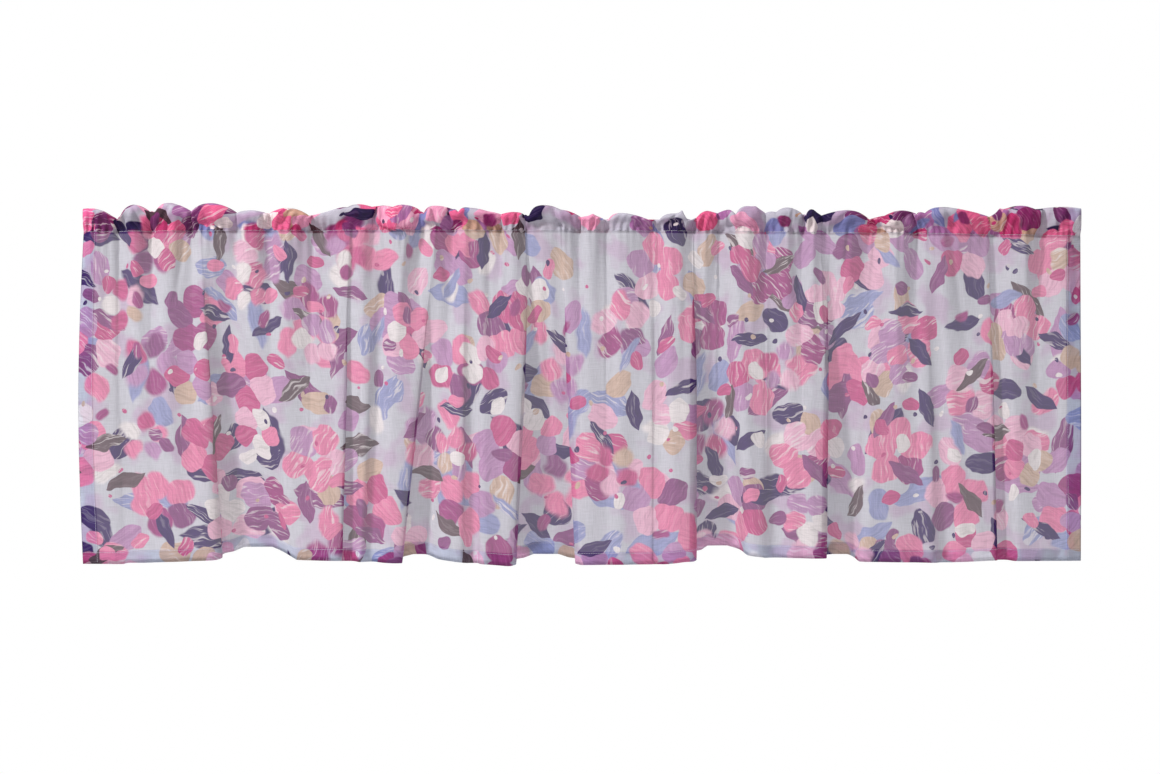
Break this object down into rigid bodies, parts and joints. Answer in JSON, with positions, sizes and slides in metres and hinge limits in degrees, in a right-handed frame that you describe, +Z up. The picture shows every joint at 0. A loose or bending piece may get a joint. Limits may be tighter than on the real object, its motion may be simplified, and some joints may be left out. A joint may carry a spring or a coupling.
{
  "type": "window valance",
  "caption": "Wide sheer window valance gathered on a rod pocket, with a ruffled top edge, soft uneven folds, narrow side hems and a turned bottom hem.",
  "frame": {"origin": "middle of the top edge, on the line of the highest ruffles, in the plane in which the cloth hangs", "axes": "+X along the width, to the right as seen from the room; -Y faces the room; +Z up"},
  "size_m": [1.6865, 0.0563, 0.6103],
  "materials": {
    "voile": "fine plain-weave voile, half sheer, printed in pinks, lilacs and purple on a pale blue-grey ground",
    "voile_doubled": "the same voile turned over into two plies, deeper in colour"
  },
  "bodies": {
    "root": {"valance_panel": "voile", "rod_pocket_heading": "voile_doubled"}
  },
  "joints": []
}
